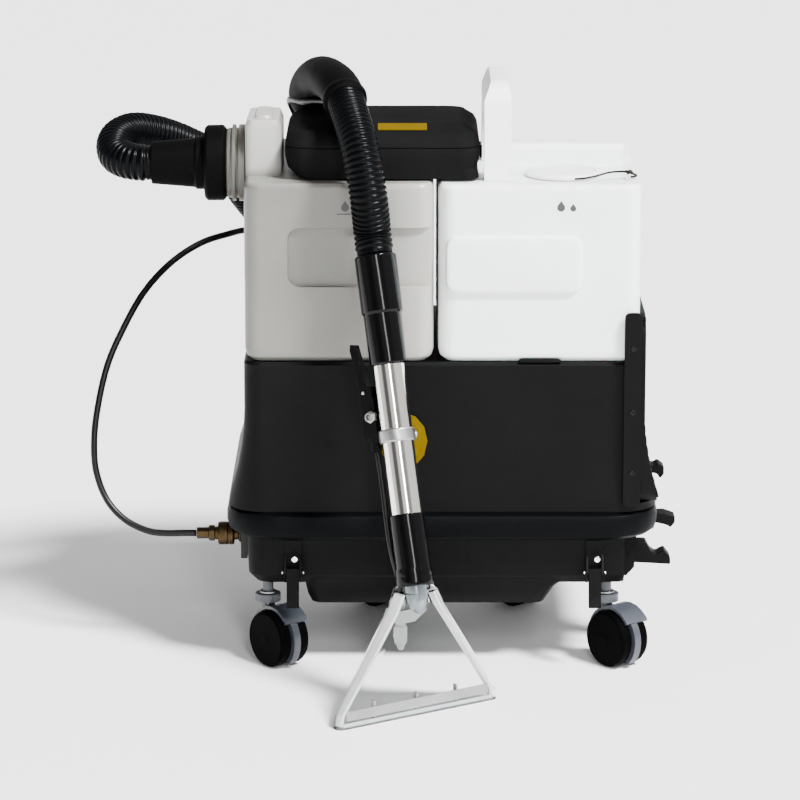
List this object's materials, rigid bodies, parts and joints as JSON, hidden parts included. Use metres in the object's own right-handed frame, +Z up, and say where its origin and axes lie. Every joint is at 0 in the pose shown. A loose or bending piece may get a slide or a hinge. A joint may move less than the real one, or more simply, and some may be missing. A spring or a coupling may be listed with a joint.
{
  "type": "carpet cleaner machine",
  "caption": "Wheeled spray-and-suction carpet cleaner with a waste tank and a clean tank side by side, a motor head, a ribbed suction hose and a hand wand with a clear wedge nozzle.",
  "frame": {"origin": "middle of the footprint of the machine and wand, on the floor", "axes": "+X to the right along the machine, +Y towards its back, +Z up"},
  "size_m": [0.6045, 0.5596, 0.6103],
  "materials": {
    "black_moulding": "satin moulded plastic",
    "bumper_moulding": "soft matt bumper plastic",
    "milky_tank": "milky translucent polyethylene",
    "hose_rubber": "satin ribbed hose",
    "gloss_black": "polished black",
    "steel": "polished tube",
    "zinc": "zinc plated",
    "brass": "machined, slightly dull",
    "clear_nozzle": "clear polycarbonate",
    "yellow_trim": "printed yellow",
    "caster_plastic": "satin moulded plastic"
  },
  "bodies": {
    "base": {"chassis": "black_moulding", "bumper": "bumper_moulding", "body_shell": "black_moulding", "shell_tab": "black_moulding", "front_badge": "yellow_trim", "side_grille": "black_moulding", "cord_hook_top": "black_moulding", "cord_hook_middle": "black_moulding", "cord_hook_bottom": "black_moulding", "waste_tank": "milky_tank", "clean_tank": "milky_tank", "carry_handle": "milky_tank", "tether_lug": "milky_tank", "tank_port": "milky_tank", "hose_cuff": "hose_rubber", "suction_hose": "hose_rubber", "motor_head_base": "black_moulding", "motor_head_cover": "black_moulding", "head_strip": "yellow_trim", "head_catch": "black_moulding", "vacuum_motor": "zinc", "solution_pump": "black_moulding", "switch_plate": "gloss_black", "cord_gland": "black_moulding", "latch_base_left": "black_moulding", "latch_base_right": "black_moulding", "coupling_plate": "zinc", "coupling_body": "brass", "coupling_ferrule": "brass", "solution_hose": "hose_rubber", "cap_tether": "hose_rubber"},
    "wand": {"nozzle": "clear_nozzle", "wand_cuff": "gloss_black", "wand_tube": "steel", "clamp_band": "zinc", "wand_handle": "gloss_black", "valve_body": "gloss_black", "lever_pin": "steel", "jet_bracket": "zinc", "spray_jet": "zinc", "solution_pipe": "gloss_black"},
    "trigger": {"trigger_lever": "gloss_black"},
    "union_nut": {"hose_nut": "black_moulding"},
    "cap": {"filler_cap": "milky_tank"},
    "quick_release": {"coupling_sleeve": "brass"},
    "caster_front_left": {"caster_hood_front_left": "caster_plastic"},
    "wheels_front_left": {"caster_wheels_front_left": "caster_plastic"},
    "caster_front_right": {"caster_hood_front_right": "caster_plastic"},
    "wheels_front_right": {"caster_wheels_front_right": "caster_plastic"},
    "caster_rear_left": {"caster_hood_rear_left": "caster_plastic"},
    "wheels_rear_left": {"caster_wheels_rear_left": "caster_plastic"},
    "caster_rear_right": {"caster_hood_rear_right": "caster_plastic"},
    "wheels_rear_right": {"caster_wheels_rear_right": "caster_plastic"},
    "switch_left": {"switch_rocker_left": "gloss_black"},
    "switch_right": {"switch_rocker_right": "gloss_black"},
    "latch_left": {"latch_lever_left": "black_moulding"},
    "latch_right": {"latch_lever_right": "black_moulding"}
  },
  "joints": [
    {"name": "swivel_front_left", "type": "hinge", "parent": "base", "child": "caster_front_left", "pos_m": [-0.1513, -0.0219, 0.075], "axis": [0, 0, 1], "continuous": true},
    {"name": "roll_front_left", "type": "hinge", "parent": "caster_front_left", "child": "wheels_front_left", "pos_m": [-0.14014, -0.03603, 0.029], "axis": [-0.7848, -0.6198, 0], "continuous": true},
    {"name": "swivel_front_right", "type": "hinge", "parent": "base", "child": "caster_front_right", "pos_m": [0.1947, -0.0219, 0.075], "axis": [0, 0, 1], "continuous": true},
    {"name": "roll_front_right", "type": "hinge", "parent": "caster_front_right", "child": "wheels_front_right", "pos_m": [0.20586, -0.03603, 0.029], "axis": [-0.7848, -0.6198, 0], "continuous": true},
    {"name": "swivel_rear_left", "type": "hinge", "parent": "base", "child": "caster_rear_left", "pos_m": [-0.0483, 0.2021, 0.075], "axis": [0, 0, 1], "continuous": true},
    {"name": "roll_rear_left", "type": "hinge", "parent": "caster_rear_left", "child": "wheels_rear_left", "pos_m": [-0.03714, 0.18797, 0.029], "axis": [-0.7848, -0.6198, 0], "continuous": true},
    {"name": "swivel_rear_right", "type": "hinge", "parent": "base", "child": "caster_rear_right", "pos_m": [0.1017, 0.2021, 0.075], "axis": [0, 0, 1], "continuous": true},
    {"name": "roll_rear_right", "type": "hinge", "parent": "caster_rear_right", "child": "wheels_rear_right", "pos_m": [0.11286, 0.18797, 0.029], "axis": [-0.7848, -0.6198, 0], "continuous": true},
    {"name": "wand_lift", "type": "slide", "parent": "base", "child": "wand", "axis": [0, 0, 1], "range_m": [0, 0.1], "deforming": ["suction_hose", "solution_hose"]},
    {"name": "trigger_press", "type": "hinge", "parent": "wand", "child": "trigger", "pos_m": [-0.04794, -0.12596, 0.30483], "axis": [0.5774, 0.7947, -0.1874], "range_deg": [0, 12], "stiffness_Nm_per_rad": 0.6, "springref_deg": -11.46},
    {"name": "union_nut_turn", "type": "hinge", "parent": "base", "child": "union_nut", "pos_m": [-0.2033, 0.0401, 0.507], "axis": [-1, 0, 0], "continuous": true},
    {"name": "cap_lift", "type": "slide", "parent": "base", "child": "cap", "axis": [0, 0, 1], "range_m": [0, 0.03], "deforming": ["cap_tether"]},
    {"name": "coupling_release", "type": "slide", "parent": "base", "child": "quick_release", "axis": [1, 0, 0], "range_m": [0, 0.004], "stiffness_N_per_m": 900, "springref_m": -0.002},
    {"name": "switch_left_rock", "type": "hinge", "parent": "base", "child": "switch_left", "pos_m": [0.1027, 0.2341, 0.272], "axis": [-1, 0, 0], "range_deg": [0, 14]},
    {"name": "switch_right_rock", "type": "hinge", "parent": "base", "child": "switch_right", "pos_m": [0.1427, 0.2341, 0.272], "axis": [-1, 0, 0], "range_deg": [0, 14]},
    {"name": "latch_left_swing", "type": "hinge", "parent": "base", "child": "latch_left", "pos_m": [-0.1248, -0.0574, 0.103], "axis": [-1, 0, 0], "range_deg": [0, 80]},
    {"name": "latch_right_swing", "type": "hinge", "parent": "base", "child": "latch_right", "pos_m": [0.1812, -0.0574, 0.103], "axis": [-1, 0, 0], "range_deg": [0, 80]}
  ]
}
